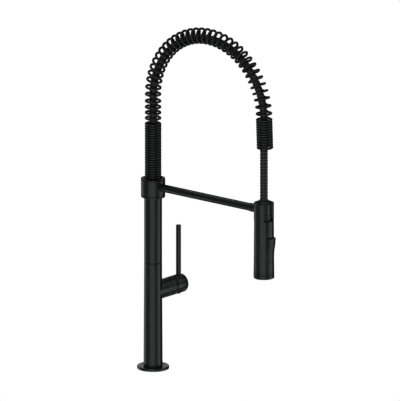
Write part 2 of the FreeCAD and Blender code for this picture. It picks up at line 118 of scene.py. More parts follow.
def ramp(tree, value, stops):
    """Colour by value; stops are pairs of a place and an RGB triple."""
    made = tree.nodes.new("ShaderNodeValToRGB")
    while len(made.color_ramp.elements) < len(stops):
        made.color_ramp.elements.new(0.5)
    for element, (place, colour) in zip(made.color_ramp.elements, stops):
        element.position = place
        element.color = (*colour, 1)
    tree.links.new(value, made.inputs["Fac"])
    return made.outputs["Color"]


def clouded(tree, value, dark, light):
    return ramp(tree, value, [(NOISE_LOW, dark), (NOISE_HIGH, light)])


def spread(tree, value, low, high, start=NOISE_LOW, end=NOISE_HIGH):
    """Maps a value between start and end to one between low and high."""
    made = node(tree, "ShaderNodeMapRange")
    made.inputs["From Min"].default_value = start
    made.inputs["From Max"].default_value = end
    made.inputs["To Min"].default_value = low
    made.inputs["To Max"].default_value = high
    tree.links.new(value, made.inputs["Value"])
    return made.outputs["Result"]


def combined(tree, first, second, operation="ADD"):
    """Sum of a socket and a socket or number, or the result of another operation on them."""
    made = node(tree, "ShaderNodeMath", operation=operation)
    tree.links.new(first, made.inputs[0])
    if hasattr(second, "links"):
        tree.links.new(second, made.inputs[1])
    else:
        made.inputs[1].default_value = second
    return made.outputs["Value"]


def mixed(tree, factor, first, second):
    """Colour mix; first and second are sockets or RGB triples."""
    made = tree.nodes.new("ShaderNodeMix")
    made.data_type = "RGBA"
    tree.links.new(factor, made.inputs[0])
    for socket, colour in ((made.inputs[6], first), (made.inputs[7], second)):
        if hasattr(colour, "links"):
            tree.links.new(colour, socket)
        else:
            socket.default_value = (*colour, 1)
    return made.outputs[2]


def bumped(tree, shader, height, distance, strength=1.0):
    made = node(tree, "ShaderNodeBump", Strength=strength, Distance=distance)
    tree.links.new(height, made.inputs["Height"])
    tree.links.new(made.outputs["Normal"], shader.inputs["Normal"])


def worn_edges(tree):
    """1 on sharp outer edges, broken up by noise, and 0 elsewhere."""
    geometry = tree.nodes.new("ShaderNodeNewGeometry")
    edge = spread(tree, geometry.outputs["Pointiness"], 0, 1, EDGE_LOW, EDGE_HIGH)
    patches = noise(tree, object_point(tree), 420, 4)
    broken = spread(tree, patches, 0, 1, BREAK_LOW, BREAK_HIGH)
    return combined(tree, edge, broken, "MULTIPLY")


def black_coat(name, tone, roughness, grain, grain_depth, wear=0.5, specular=0.5):
    """Matte black coat over metal: fine powder grain, soft cloudiness, slightly polished edges."""
    material, tree, shader = new_material(name, specular=specular)
    point = object_point(tree)
    cloud = noise(tree, point, 34, 3)
    fine = noise(tree, point, grain, 2, 0.6)
    base = clouded(tree, cloud, scaled(tone, 0.72), scaled(tone, 1.35))
    worn = combined(tree, worn_edges(tree), wear, "MULTIPLY")
    polished = tuple(channel * 4.5 + 0.01 for channel in tone)
    colour = mixed(tree, worn, base, polished)
    tree.links.new(colour, shader.inputs["Base Color"])
    smooth = combined(tree, spread(tree, cloud, -0.035, 0.035), spread(tree, fine, -0.05, 0.05))
    smooth = combined(tree, smooth, roughness)
    polish = combined(tree, worn, -0.1, "MULTIPLY")
    tree.links.new(combined(tree, smooth, polish), shader.inputs["Roughness"])
    bumped(tree, shader, fine, grain_depth)
    return material


def moulded(name, tone, roughness, texture=900, depth=0.00004, specular=0.45):
    """Moulded plastic or rubber with a fine etched texture."""
    material, tree, shader = new_material(name, specular=specular)
    point = object_point(tree)
    cloud = noise(tree, point, 60, 2)
    cells = node(tree, "ShaderNodeTexVoronoi", Scale=texture)
    tree.links.new(point, cells.inputs["Vector"])
    base = clouded(tree, cloud, scaled(tone, 0.85), scaled(tone, 1.12))
    tree.links.new(base, shader.inputs["Base Color"])
    smooth = combined(tree, spread(tree, cloud, -0.04, 0.04), roughness)
    tree.links.new(smooth, shader.inputs["Roughness"])
    bumped(tree, shader, cells.outputs["Distance"], depth, 0.6)
    return material


def bare_metal(name, tone, roughness):
    """Turned bare metal: fine tool lines around Z and a slightly uneven tone."""
    material, tree, shader = new_material(name, metallic=1.0)
    marks = noise(tree, object_point(tree, (1, 1, 14)), 260, 4, 0.6)
    cloud = noise(tree, object_point(tree), 45, 3)
    base = clouded(tree, cloud, scaled(tone, 0.8), tone)
    tree.links.new(base, shader.inputs["Base Color"])
    smooth = combined(tree, spread(tree, marks, -0.08, 0.08), roughness)
    tree.links.new(smooth, shader.inputs["Roughness"])
    bumped(tree, shader, marks, 0.00001)
    return material


COAT_TONE = (0.0060, 0.0068, 0.0066)
FINISH = {
    "black_paint": black_coat("black_paint_look", COAT_TONE, 0.30, 2600, 0.000012),
    "cast_brass": black_coat("cast_brass_look", COAT_TONE, 0.31, 2400, 0.000014),
    "black_steel": black_coat(
        "black_steel_look", (0.005, 0.0055, 0.0055), 0.30, 3000, 0.000010, 0.8, 0.42),
    "hose": black_coat("hose_look", (0.006, 0.0065, 0.0065), 0.33, 2200, 0.00002, 0.6, 0.55),
    "black_plastic": moulded("black_plastic_look", (0.0065, 0.0072, 0.0070), 0.33),
    "rubber": moulded("rubber_look", (0.012, 0.012, 0.012), 0.6, 1400, 0.00003, 0.3),
    "white_plastic": moulded("white_plastic_look", (0.74, 0.74, 0.72), 0.38, 700, 0.00002),
    "ceramic": moulded("ceramic_look", (0.8, 0.79, 0.76), 0.12, 300, 0.000004, 0.6),
    "brass": bare_metal("brass_look", (0.78, 0.60, 0.32), 0.26),
    "steel": bare_metal("steel_look", (0.60, 0.60, 0.61), 0.3),
}

SLOTS = {row["node"]: row["material_slot"] for row in frame["record"]["subparts"]}
for name, piece in frame["nodes"].items():
    piece.data.materials.clear()
    piece.data.materials.append(FINISH[SLOTS[name]])


# Mesh helpers

SAME_POINT = 0.000001    # vertices closer than this are one, m
ON_AXIS = 0.001          # rings smaller than this are one point, mm
AROUND = 96              # points around a turned piece
EASE_STEPS = 5           # pieces in the curve of a fillet


def made_object(name, maker):
    """Object from a bmesh, with its faces turned outwards; the bmesh is freed."""
    mesh = bpy.data.meshes.new(name)
    bmesh.ops.remove_doubles(maker, verts=maker.verts, dist=SAME_POINT)
    bmesh.ops.recalc_face_normals(maker, faces=maker.faces)
    maker.to_mesh(mesh)
    maker.free()
    piece = bpy.data.objects.new(name, mesh)
    bpy.context.scene.collection.objects.link(piece)
    return piece


def finished(name, maker, body, replaced, slot, smooth_angle=35, cutters=()):
    """Piece from a bmesh, holes cut in it, with its finish and what it rides on and replaces."""
    piece = made_object(name, maker)
    for index, cutter in enumerate(cutters):
        tool = made_object(f"{name}_tool_{index}", cutter)
        carve = piece.modifiers.new("carve", "BOOLEAN")
        carve.operation, carve.solver, carve.object = "DIFFERENCE", "EXACT", tool
        seen = piece.evaluated_get(bpy.context.evaluated_depsgraph_get())
        carved = bpy.data.meshes.new_from_object(seen)
        piece.modifiers.clear()
        old, piece.data = piece.data, carved
        carved.name = name
        bpy.data.meshes.remove(old)
        tool_mesh = tool.data
        bpy.data.objects.remove(tool)
        bpy.data.meshes.remove(tool_mesh)
    mesh = piece.data
    mesh.polygons.foreach_set("use_smooth", [True] * len(mesh.polygons))
    mesh.set_sharp_from_angle(angle=math.radians(smooth_angle))
    mesh.materials.clear()
    mesh.materials.append(FINISH[slot])
    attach(piece, body)
    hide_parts(*replaced)


def skinned(maker, rings, closed=False):
    """Skins rings of points, capped unless closed; a ring of one point is a tip."""
    made = [[maker.verts.new(p) for p in ring] for ring in rings]
    pairs = list(zip(made, made[1:] + made[:1] if closed else made[1:]))
    count = max(len(ring) for ring in made)
    for first, second in pairs:
        for i in range(count):
            j = (i + 1) % count
            if len(first) == len(second) == 1:
                break
            if len(first) == 1:
                corners = (first[0], second[j], second[i])
            elif len(second) == 1:
                corners = (first[i], first[j], second[0])
            else:
                corners = (first[i], first[j], second[j], second[i])
            maker.faces.new(corners)
    if not closed:
        for ring in (made[0], made[-1]):
            if len(ring) > 2:
                maker.faces.new(ring)


def eased(outline):
    """Closed outline of (radius, along, fillet) corners, with each fillet as a short curve."""
    points = []
    for i, (radius, along, fillet) in enumerate(outline):
        corner = Vector((radius, along))
        if not fillet:
            points.append(corner)
            continue
        before = Vector(outline[i - 1][:2]) - corner
        after = Vector(outline[(i + 1) % len(outline)][:2]) - corner
        start = corner + before.normalized() * min(fillet, before.length / 2)
        end = corner + after.normalized() * min(fillet, after.length / 2)
        for k in range(EASE_STEPS + 1):
            t = k / EASE_STEPS
            points.append(start * (1 - t) ** 2 + corner * 2 * t * (1 - t) + end * t ** 2)
    return points


def round_about(axis, centre, radius, along, steps=AROUND):
    """Ring of points about an axis through centre, in metres from millimetres."""
    if radius < ON_AXIS:
        steps = 1
    points = []
    for i in range(steps):
        turn = TURN * i / steps
        c, w = radius * math.cos(turn), radius * math.sin(turn)
        offset = {"X": (along, c, w), "Y": (w, along, c), "Z": (c, w, along)}[axis]
        points.append((Vector(centre) + Vector(offset)) * MM)
    return points


def lathe(axis, centre, outline, steps=AROUND):
    """Turned solid from a closed outline of (radius, along, fillet) corners."""
    maker = bmesh.new()
    rings = [round_about(axis, centre, p.x, p.y, steps) for p in eased(outline)]
    skinned(maker, rings, closed=True)
    return maker


def turned(name, body, axis, centre, outline, cutters=()):
    """Visible turned piece for the CAD node of that name, in the node's own slot."""
    maker = lathe(axis, centre, outline)
    finished(name + "_turned", maker, body, [name], SLOTS[name], cutters=cutters)


def brick(low, high):
    """Cutter between two corners, mm."""
    maker = bmesh.new()
    bmesh.ops.create_cube(maker, size=1)
    for vert in maker.verts:
        vert.co = Vector([(a if c < 0 else b) * MM for c, a, b in zip(vert.co, low, high)])
    return maker


# Arch centreline: riser, arc and leaning tail, from the CAD nodes' boxes

SPRING_LOW, SPRING_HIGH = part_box("arch_spring")
HOSE_LOW, HOSE_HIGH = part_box("arch_hose")
DROP_LOW, DROP_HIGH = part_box("hose_drop")
REACH = (DROP_LOW.x + DROP_HIGH.x) / 2
SPRING_OUTER = -SPRING_LOW.x
SPRING_FOOT = SPRING_LOW.z
ARCH_RADIUS = REACH / 2 + 0.2 * MM                # the spring's arc; the hose's is REACH / 2
ARCH_Z = SPRING_HIGH.z - ARCH_RADIUS - SPRING_OUTER
LEAN = math.radians(2.0)                          # of the close coils above the spray head
TAIL = 56.5 * MM                                  # length of those coils
WIRE = 2.0 * MM                                   # radius of the spring's wire
WIRE_STEPS = 44                                   # points along one turn of it
WIRE_SIDES = 12
HOSE_ARCH_Z = HOSE_HIGH.z - (HOSE_HIGH.x + HOSE_LOW.x) / 2 + HOSE_LOW.x


class Route:
    """Up from foot, round an arc about (radius, 0, height), and down at a lean."""

    def __init__(self, foot, height, radius, lean, tail):
        self.foot, self.height, self.radius = foot, height, radius
        self.rise = height - foot
        self.sweep = math.pi - lean
        self.length = self.rise + radius * self.sweep + tail

    def at(self, s):
        """Point and direction at a distance along it."""
        if s < self.rise:
            return Vector((0, 0, self.foot + s)), Vector((0, 0, 1))
        angle = min((s - self.rise) / self.radius, self.sweep)
        out = self.radius * (1 - math.cos(angle))
        point = Vector((out, 0, self.height + self.radius * math.sin(angle)))
        along = Vector((math.sin(angle), 0, math.cos(angle)))
        beyond = s - self.rise - self.radius * self.sweep
        if beyond > 0:
            point += along * beyond
        return point, along


# Pitches of the spring's turns, mm
COLLAR_TURNS = [4.182] * 25                           # close, from the collar up
OPENING = [10.3, 9.6, 9.8, 10.3, 12.1, 12.3, 12.9]    # widening above them
OPEN_TURNS = [11.55] * 28                             # over the arch
CLOSING = [13.1, 12.3, 10.7]
TAIL_PITCH = 4.26                                     # roughly; close above the spray head


def coil_pitches(length):
    """Pitch of each turn; the last turns share what is left of the length, in mm."""
    pitches = COLLAR_TURNS + OPENING + OPEN_TURNS + CLOSING
    room = length - 2 * WIRE / MM - sum(pitches)
    turns = round(room / TAIL_PITCH)
    return pitches + [room / turns] * turns


FRONT = Vector((0.62, -0.74, 0.26))    # side where the turns lie square to the arch
CROSSING = 0.13                        # part of a turn, each side of the far side, that climbs


def advance(part):
    """How far along its pitch a turn has gone; it stays square in front and crosses over behind."""
    t = min(max((part - 0.5 + CROSSING) / (2 * CROSSING), 0.0), 1.0)
    return t * t * (3 - 2 * t)


def ring_point(route, place, turn, radius):
    """Point of the spring's wire at a place along the route, turned from the front."""
    point, along = route.at(place)
    front = (FRONT - along * FRONT.dot(along)).normalized()
    return point + (front * math.cos(turn) + along.cross(front) * math.sin(turn)) * radius


def spring_points(route, radius, steps):
    """Wire centreline, with a closed last turn."""
    points, base = [], WIRE
    for pitch in coil_pitches(route.length / MM):
        for i in range(steps):
            place = base + pitch * MM * advance(i / steps)
            points.append(ring_point(route, place, TURN * i / steps, radius))
        base += pitch * MM
    for i in range(steps // 2):
        points.append(ring_point(route, base, TURN * i / steps, radius))
    return points


def section(point, first, second, radius, sides):
    """Ring of points in the plane of two directions."""
    turns = [TURN * j / sides for j in range(sides)]
    return [point + (first * math.cos(t) + second * math.sin(t)) * radius for t in turns]


def swept(maker, points, radius, sides):
    """Round bar along points, with its section turned as little as possible."""
    up = Vector((0, 0, 1))
    normal = None
    rings = []
    for i, point in enumerate(points):
        along = (points[min(i + 1, len(points) - 1)] - points[max(i - 1, 0)]).normalized()
        if normal is None:
            normal = (up - along * up.dot(along)).normalized()
        normal = (normal - along * normal.dot(along)).normalized()
        rings.append(section(point, normal, along.cross(normal), radius, sides))
    skinned(maker, rings)


def arch_spring():
    maker = bmesh.new()
    route = Route(SPRING_FOOT, ARCH_Z, ARCH_RADIUS, LEAN, TAIL)
    swept(maker, spring_points(route, SPRING_OUTER - WIRE, WIRE_STEPS), WIRE, WIRE_SIDES)
    finished("spring_coil", maker, "spout", ["arch_spring"], "black_steel", 60)


RIB = 5.56 * MM          # from one groove of the hose to the next
RIB_DEPTH = 0.9 * MM
RIB_STEPS = 16           # rings along one rib
BAND = 0.52              # part of a rib that is a smooth band
HOSE_SIDES = 36
HOSE_GAP = 0.2 * MM      # between the hose over the arch and its straight end


def rib_radius(s, outer):
    """Smooth bands with rounded shoulders and narrow grooves between them."""
    place = abs((s / RIB) % 1 - 0.5) * 2
    into = max(0.0, (place - BAND) / (1 - BAND))
    return outer - RIB_DEPTH * into * into * (3 - 2 * into)


def ribbed_hose(name, route, outer, body, replaced):
    maker = bmesh.new()
    steps = int(route.length / RIB * RIB_STEPS)
    rings = []
    for i in range(steps + 1):
        s = route.length * i / steps
        point, along = route.at(s)
        side = Vector((0, 1, 0))
        rings.append(section(point, side, along.cross(side), rib_radius(s, outer), HOSE_SIDES))
    skinned(maker, rings)
    finished(name, maker, body, replaced, "hose", 80)


class Drop:
    """Straight down at the reach."""

    def __init__(self, top, foot):
        self.top, self.length = top, top - foot

    def at(self, s):
        return Vector((REACH, 0, self.top - s)), Vector((0, 0, -1))


def hoses():
    outer = -HOSE_LOW.x
    upper = Route(HOSE_LOW.z, HOSE_ARCH_Z, REACH / 2, 0, HOSE_ARCH_Z - (DROP_HIGH.z + HOSE_GAP))
    ribbed_hose("hose_over_arch", upper, outer, "spout", ["arch_hose"])
    ribbed_hose("hose_straight", Drop(DROP_HIGH.z, DROP_LOW.z), outer, "hose_end", ["hose_drop"])


arch_spring()
hoses()


# Turned pieces: outlines are (radius, along, fillet) in millimetres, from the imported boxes

def span(name, axis):
    """Lowest and highest point of a node along an axis, mm."""
    low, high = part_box(name)
    index = "XYZ".index(axis)
    return low[index] / MM, high[index] / MM


def radius_of(name, axis):
    """Radius, mm, of a node that is round about an axis, measured across it."""
    low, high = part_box(name)
    index = "YZX".index(axis)
    return (high[index] - low[index]) / 2 / MM


AT_COLUMN = (0, 0, 0)
AT_SPRAY = (REACH / MM, 0, 0)
VALVE_LOW, VALVE_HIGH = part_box("handle_sleeve")
AT_VALVE = (0, 0, (VALVE_LOW.z + VALVE_HIGH.z) / 2 / MM)
AT_ARM = (0, 0, sum(span("arm_rod", "Z")) / 2)


FOOT_BORE = 16.05
COLUMN_BORE = 11.5
COLLAR_BORE = 15.03
SEAT_BORE = 14.5         # of the collar above the column's top
COLUMN_TOP = 318
SCREW_Z = 310
LINE = 1.0               # depth of the fine lines that part the collar from its rings


def column_pieces():
    rim = radius_of("base_flange", "Z")
    top = span("base_flange", "Z")[1]
    turned("base_flange", "base", "Z", AT_COLUMN, [
        (FOOT_BORE, 0, 0), (19.0, 0, 0), (19.0, 1.8, 0), (23.0, 1.8, 0), (23.0, 0, 0),
        (rim - 0.25, 0, 0), (rim, 0.3, 0.2), (rim, top, 1.3), (18.6, top, 0.3),
        (18.2, top - 0.25, 0.2), (FOOT_BORE, top - 0.25, 0)])
    low, high = span("upper_column", "Z")
    wide = radius_of("upper_column", "Z")
    turned("upper_column", "spout", "Z", AT_COLUMN, [
        (12.6, low, 0), (wide - 0.5, low, 0), (wide, low + 0.6, 0.4), (wide, high, 0.3),
        (COLUMN_BORE, high, 0), (COLUMN_BORE, 216, 0), (12.6, 194.6, 0)])
    low, high = span("swivel_washer", "Z")
    turned("swivel_washer", "base", "Z", AT_COLUMN, [
        (11.6, low, 0), (wide - 1.1, low, 0.15), (wide - 1.1, high, 0.15), (11.6, high, 0)])


def collar_pieces():
    wide = radius_of("collar", "Z")
    low, high = span("collar", "Z")
    screw_hole = lathe("X", (0, 0, SCREW_Z), [
        (0, -22, 0), (2.5, -22, 0), (2.5, -14.8, 0), (0, -14.8, 0)], 32)
    turned("collar", "spout", "Z", AT_COLUMN, [
        (COLLAR_BORE, low, 0), (wide, low, 0.35), (wide, high, 0.35), (SEAT_BORE, high, 0),
        (SEAT_BORE, COLUMN_TOP, 0), (COLLAR_BORE, COLUMN_TOP, 0)], [screw_hole])
    low, high = span("collar_top_ring", "Z")
    turned("collar_top_ring", "spout", "Z", AT_COLUMN, [
        (SEAT_BORE, low, 0), (wide - LINE, low, 0), (wide - LINE, low + 0.6, 0),
        (wide, low + 0.9, 0.4), (wide, high, 0.9), (SEAT_BORE, high, 0.5)])
    low, high = span("collar_lock_ring", "Z")
    turned("collar_lock_ring", "spout", "Z", AT_COLUMN, [
        (COLLAR_BORE, low, 0.3), (wide, low, 2.4), (wide, high - 0.8, 0.4),
        (wide - LINE, high - 0.6, 0), (wide - LINE, high, 0), (COLLAR_BORE, high, 0)])


def arm_pieces():
    start, end = span("arm_rod", "X")
    thick = radius_of("arm_rod", "X")
    turned("arm_rod", "spout", "X", AT_ARM, [
        (0, start, 0), (thick, start, 0), (thick, end, 0.3), (0, end, 0)])
    start, end = span("arm_ferrule", "X")
    wide = radius_of("arm_ferrule", "X")
    turned("arm_ferrule", "spout", "X", AT_ARM, [
        (thick, start, 0), (wide, start, 0.9), (wide, end, 0.6), (thick, end, 0)])


CLIP_BORE = 13.35
CLIP_HALF_SLOT = math.radians(48)
CLIP_SOFT = 0.9          # rounding of its top edges and slot ends
CLIP_STEPS = 90
CLIP_TURNED_IN = (0.0, 1.0), (0.012, 0.35), (0.05, 0.0)  # angle from a slot end, and how shrunk
BOSS_BORE, BOSS_R = 6.5, 7.1


def clip_stations():
    """Pairs of how far the section has shrunk and its angle, from one slot end to the other."""
    whole = TURN - 2 * CLIP_HALF_SLOT
    turns = [CLIP_HALF_SLOT + whole * i / CLIP_STEPS for i in range(CLIP_STEPS + 1)]
    return ([(shrink, turns[0] + inward) for inward, shrink in CLIP_TURNED_IN]
            + [(0.0, turn) for turn in turns[2:-2]]
            + [(shrink, turns[-1] - inward) for inward, shrink in reversed(CLIP_TURNED_IN)])


def holder():
    """C-shaped clip with rounded edges and slot ends, and the boss that takes the arm."""
    low, high = span("spray_holder", "Z")
    outer = radius_of("spray_holder", "Z")
    maker = bmesh.new()
    rings = []
    for shrink, turn in clip_stations():
        gap = shrink * CLIP_SOFT
        outline = eased([
            (CLIP_BORE + gap, low + gap, 0.15), (outer - gap, low + gap, 0.15),
            (outer - gap, high - gap, CLIP_SOFT), (CLIP_BORE + gap, high - gap, CLIP_SOFT)])
        c, w = math.cos(turn), math.sin(turn)
        rings.append([Vector((AT_SPRAY[0] + p.x * c, p.x * w, p.y)) * MM for p in outline])
    skinned(maker, rings)
    start, clip_end = span("spray_holder", "X")
    boss_end = AT_SPRAY[0] - (clip_end - AT_SPRAY[0]) + 2.5
    boss = lathe("X", AT_ARM, [
        (BOSS_BORE, start, 0.2), (BOSS_R, start, 0.5), (BOSS_R, boss_end, 0),
        (BOSS_BORE, boss_end, 0)], 64)
    boss_mesh = bpy.data.meshes.new("boss")
    boss.to_mesh(boss_mesh)
    boss.free()
    maker.from_mesh(boss_mesh)
    bpy.data.meshes.remove(boss_mesh)
    finished("clip_swept", maker, "spout", ["spray_holder"], "black_paint")


JOINT_Z = 210.2                          # where the mouth's ring meets the head
POCKET_Z = 229.2, 272.6                  # the rocker's window
POCKET_WIDTH, POCKET_DEPTH = 18.4, 18
POCKET_OUT = 17                          # its middle, from the spray axis
POCKET_CORNER = 1.8
GROOVE = 0.8                             # depth of the fine grooves at the mouth
SHELL_BORE, NECK_R = 14.5, 12.0
NUT_BORE, NECK_BORE = 8.55, 5.0


def pocket_cutter():
    """Block with rounded corners, for the rocker's window in the head."""
    low, high = POCKET_Z
    window = bmesh.new()
    bmesh.ops.create_cube(window, size=1)
    size = (POCKET_DEPTH * MM, POCKET_WIDTH * MM, (high - low) * MM)
    bmesh.ops.scale(window, vec=size, verts=window.verts)
    along_x = [e for e in window.edges if abs(e.verts[0].co.x - e.verts[1].co.x) > MM]
    bmesh.ops.bevel(window, geom=along_x, offset=POCKET_CORNER * MM, segments=6, profile=0.5,
                    affect="EDGES")
    middle = Vector((AT_SPRAY[0] + POCKET_OUT, 0, (low + high) / 2)) * MM
    bmesh.ops.translate(window, vec=middle, verts=window.verts)
    return window


def spray_pieces():
    low, high = span("hose_nut", "Z")
    turned("hose_nut", "spray_head", "Z", AT_SPRAY, [
        (NUT_BORE, low, 0), (NECK_R, low, 0.5), (NECK_R, 328.3, 1.6), (8.7, 335.2, 0.8),
        (6.8, high, 0.3), (6.8, 329.2, 0), (9.5, 329.2, 0), (9.5, 324.2, 0), (NUT_BORE, 324.2, 0)])
    turned("spray_neck", "spray_head", "Z", AT_SPRAY, [
        (NECK_BORE, 290, 0), (14.0, 290, 0), (14.0, 295.95, 0), (NECK_R, 295.95, 0),
        (NECK_R, 312.1, 0.5), (8.5, 312.1, 0), (8.5, 322, 0), (NECK_BORE, 322, 0)])
    high = span("spray_body", "Z")[1]
    foot = radius_of("spray_body", "Z")
    turned("spray_body", "spray_head", "Z", AT_SPRAY, [
        (12.05, 296, 0), (SHELL_BORE, 296, 0), (SHELL_BORE, JOINT_Z, 0), (foot, JOINT_Z, 0.3),
        (16.6, high, 0.15), (12.05, high, 0.15)], [pocket_cutter()])
    low = span("bezel_ring", "Z")[0]
    wide = radius_of("bezel_ring", "Z")
    turned("bezel_ring", "spray_head", "Z", AT_SPRAY, [
        (14.0, low, 0.3), (wide - 0.25, low, 0.2), (wide, low + 0.4, 0.4), (wide, 205.7, 0.3),
        (wide - GROOVE, 206.0, 0.1), (wide - GROOVE, 206.5, 0.1), (wide, 206.8, 0.3),
        (wide, 209.2, 0.3), (wide - GROOVE, 209.6, 0.1), (wide - GROOVE, JOINT_Z, 0),
        (14.6, JOINT_Z, 0), (14.6, 203, 0), (14.0, 203, 0)])


# Height and radius from the spray axis: flush lower half, a soft step, proud upper half
ROCKER_OUTLINE = [
    (229.5, 17.2), (238.0, 17.5), (248.0, 17.9), (250.0, 18.15), (252.5, 18.65), (255.0, 19.2),
    (256.5, 19.5), (270.8, 20.7), (271.5, 20.7)]
ROCKER_CORNER, ROCKER_SOFT = 1.3, 0.7
ROCKER_BACK = 13.6
EDGE_STEPS = [0, 0.06, 0.25, 0.5, 0.9, 1.6]      # distances from an edge that is rounded


def rocker_radius(z):
    for (z0, r0), (z1, r1) in zip(ROCKER_OUTLINE, ROCKER_OUTLINE[1:]):
        if z <= z1:
            return r0 + (r1 - r0) * (z - z0) / (z1 - z0)
    return ROCKER_OUTLINE[-1][1]


def rocker_heights(low, high):
    """Rows of the pad, closest together at its ends and over its step."""
    return ([low + d for d in EDGE_STEPS]
            + [low + EDGE_STEPS[-1] + i * 2.0 for i in range(1, 9)]
            + [249.0 + i * 0.75 for i in range(11)]
            + [258.5 + i * 2.0 for i in range(6)]
            + [high - d for d in reversed(EDGE_STEPS)])


def rocker_pad():
    """Pad with rounded corners and edges, on the head's curve."""
    low, high = span("rocker", "Z")
    half_y = radius_of("rocker", "Z")
    centre, half_z = (low + high) / 2, (high - low) / 2
    maker = bmesh.new()
    rows = []
    for z in rocker_heights(low, high):
        past = max(0.0, abs(z - centre) - (half_z - ROCKER_CORNER))
        half = half_y - ROCKER_CORNER + math.sqrt(max(ROCKER_CORNER ** 2 - past ** 2, 0.0))
        row = []
        offsets = [-half + d * half / half_y for d in EDGE_STEPS + [3.0, 5.0, 7.0, 8.85]]
        for y in offsets + [-o for o in reversed(offsets[:-1])]:
            edge = min(half - abs(y), half_z - abs(z - centre))
            drop = ROCKER_SOFT - math.sqrt(ROCKER_SOFT ** 2 - max(ROCKER_SOFT - edge, 0.0) ** 2)
            x = math.sqrt(rocker_radius(z) ** 2 - y ** 2) - drop
            row.append(maker.verts.new(Vector((AT_SPRAY[0] + x, y, z)) * MM))
        rows.append(row)
    for first, second in zip(rows, rows[1:]):
        for i in range(len(first) - 1):
            maker.faces.new((first[i], first[i + 1], second[i + 1], second[i]))
    right = [row[-1] for row in rows[1:-1]]
    left = [row[0] for row in rows[-2:0:-1]]
    border = rows[0] + right + rows[-1][::-1] + left
    back_x = (AT_SPRAY[0] + ROCKER_BACK) * MM
    back = [maker.verts.new(Vector((back_x, v.co.y, v.co.z))) for v in border]
    for i in range(len(border)):
        j = (i + 1) % len(border)
        maker.faces.new((border[i], back[i], back[j], border[j]))
    maker.faces.new(back)
    finished("rocker_pad", maker, "rocker", ["rocker"], "black_plastic", 50)


# Handle: sleeve with a hollow end, and the hub whose rounded end turns in it

PIVOT_Y = 64.0
KNUCKLE_R = 16.0
SEAT_R = KNUCKLE_R + 0.9                       # hollow end of the sleeve
DRUM_STEPS = 128
DRUM_PARTS = [0.2, 0.4, 0.6, 0.8, 0.9]         # rings across an end, as parts of the radius
DRUM_EDGE = [(0.0, 0.42), (0.08, 0.2), (0.24, 0.06), (0.45, 0.0)]    # inward from it, and in radius


def knuckle(z, radius):
    """How far out a round end about the pivot reaches, at a height from the valve axis."""
    return PIVOT_Y - math.sqrt(max(radius ** 2 - z * z, 0))


def drum(y_low, y_high, radius):
    """Closed solid about the valve axis, whose ends are functions of height."""

    def ring_at(r, y_of, inward):
        points = []
        for i in range(DRUM_STEPS):
            turn = TURN * i / DRUM_STEPS
            x, z = r * math.sin(turn), r * math.cos(turn)
            points.append(Vector((x, y_of(z) + inward, AT_VALVE[2] + z)) * MM)
        return points

    rings = [[Vector((0, y_low(0), AT_VALVE[2])) * MM]]
    rings += [ring_at(radius * part, y_low, 0) for part in DRUM_PARTS]
    rings += [ring_at(radius - drop, y_low, inward) for inward, drop in DRUM_EDGE]
    rings += [ring_at(radius - drop, y_high, -inward) for inward, drop in reversed(DRUM_EDGE)]
    rings += [ring_at(radius * part, y_high, 0) for part in reversed(DRUM_PARTS)]
    rings.append([Vector((0, y_high(0), AT_VALVE[2])) * MM])
    maker = bmesh.new()
    skinned(maker, rings)
    return maker


def handle():
    radius = radius_of("handle_sleeve", "Y")
    start, lip = span("handle_sleeve", "Y")
    end = span("handle_hub", "Y")[1]
    height = AT_VALVE[2]
    sleeve = drum(lambda z: start, lambda z: min(lip, knuckle(z, SEAT_R)), radius)
    sleeve_screw_hole = lathe("Z", (0, 42, height), [
        (0, -17, 0), (2, -17, 0), (2, -13.4, 0), (0, -13.4, 0)], 32)
    finished("sleeve_turned", sleeve, "mixer", ["handle_sleeve"], "black_paint",
             cutters=[sleeve_screw_hole])
    hub = drum(lambda z: knuckle(z, KNUCKLE_R), lambda z: end, radius)
    lever_low, lever_high = span("lever_rod", "Y")
    at_lever = (0, (lever_low + lever_high) / 2, height)
    thick = radius_of("lever_rod", "Z")
    tongue_slot = brick((-4.8, 44, height - 12.3), (4.8, 70.5, height + 6.6))
    lever_bore = lathe("Z", at_lever, [
        (0, 12.5, 0), (thick + 0.05, 12.5, 0), (thick + 0.05, 14.7, 0), (thick + 1.3, 16.3, 0),
        (0, 16.3, 0)], 48)
    screw_bore = lathe("Z", at_lever, [
        (0, 6, 0), (3.4, 6, 0), (3.4, 9.3, 0), (2.1, 9.3, 0), (2.1, 13, 0), (0, 13, 0)], 32)
    plug_bore = lathe("Z", at_lever, [(0, -18, 0), (3.5, -18, 0), (3.5, -12, 0), (0, -12, 0)], 48)
    pin_bore = lathe("X", (0, PIVOT_Y, height), [
        (0, -18, 0), (2, -18, 0), (2, 11, 0), (0, 11, 0)], 32)
    finished("hub_turned", hub, "lever", ["handle_hub"], "black_paint",
             cutters=[tongue_slot, lever_bore, screw_bore, plug_bore, pin_bore])
    top = span("lever_rod", "Z")[1] - height
    turned("lever_rod", "lever", "Z", at_lever, [
        (0, 12.5, 0), (thick, 12.5, 0), (thick, top, 0.6), (0, top, 0)])
    low = span("hub_plug", "Z")[0] - height
    turned("hub_plug", "lever", "Z", at_lever, [
        (0, low, 0), (3.25, low, 1.5), (3.25, -12.4, 0), (0, -12.4, 0)])


column_pieces()
collar_pieces()
arm_pieces()
holder()
spray_pieces()
rocker_pad()
handle()


# Stage, light and camera

VIEW_AZIMUTH = 39.8
VIEW_ELEVATION = 15.09
VIEW_WIDTH = 0.6767
VIEW_SHIFT = (0.0792, 0.2824)        # of the picture's middle from the origin, right and up
VIEW_DISTANCE = 3
VIEW_GAMMA = 0.7
FLOOR_HALF = 12.0
FLOOR_DROP = 0.0002                  # below the foot


